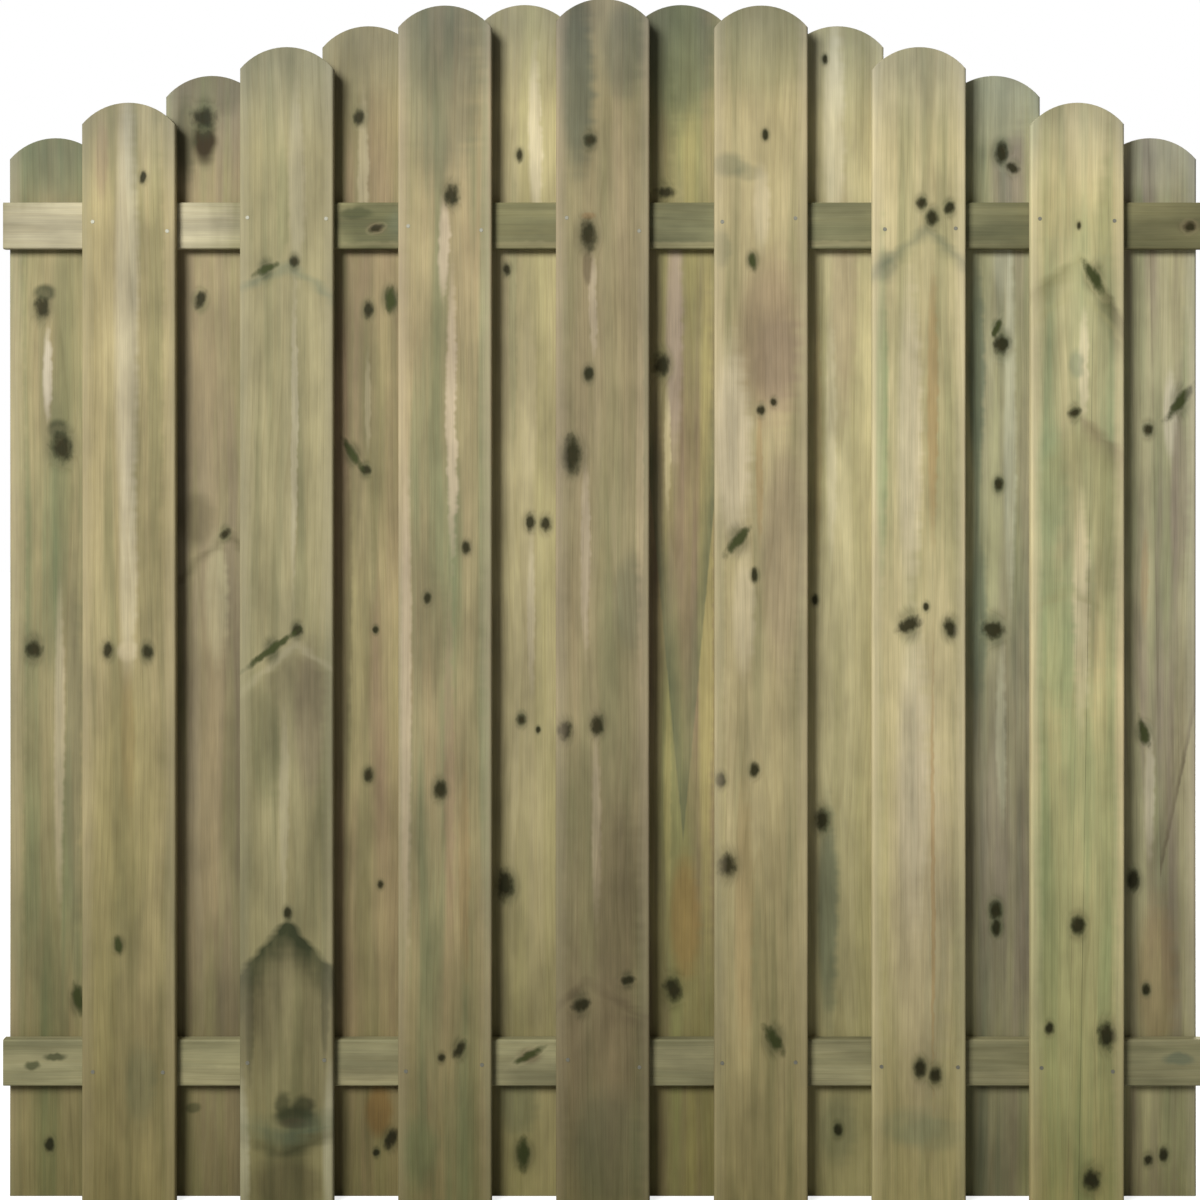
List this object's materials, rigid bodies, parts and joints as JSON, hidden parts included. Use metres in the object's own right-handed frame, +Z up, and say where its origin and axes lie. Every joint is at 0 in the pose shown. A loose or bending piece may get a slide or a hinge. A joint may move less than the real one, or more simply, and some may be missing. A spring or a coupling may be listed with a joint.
{
  "type": "arched double-sided wooden fence panel",
  "caption": "Arched timber fence panel: upright round-topped boards nailed in turn to the front and the back of its horizontal rails, stepping down to each end.",
  "frame": {"origin": "middle of the lower rail's left end face, where the panel is fixed to its post", "axes": "+X along the rails from left to right, +Y from the front boards to the back boards, +Z up"},
  "size_m": [1.8, 0.05, 1.8],
  "materials": {
    "front_boards": "planed pressure-treated pine",
    "back_boards": "planed pressure-treated pine",
    "rails": "planed pressure-treated pine"
  },
  "bodies": {
    "root": {"front_board_1": "front_boards", "front_board_2": "front_boards", "front_board_3": "front_boards", "front_board_4": "front_boards", "front_board_5": "front_boards", "front_board_6": "front_boards", "front_board_7": "front_boards", "back_board_1": "back_boards", "back_board_2": "back_boards", "back_board_3": "back_boards", "back_board_4": "back_boards", "back_board_5": "back_boards", "back_board_6": "back_boards", "back_board_7": "back_boards", "back_board_8": "back_boards", "lower_rail": "rails", "upper_rail": "rails"}
  },
  "joints": []
}
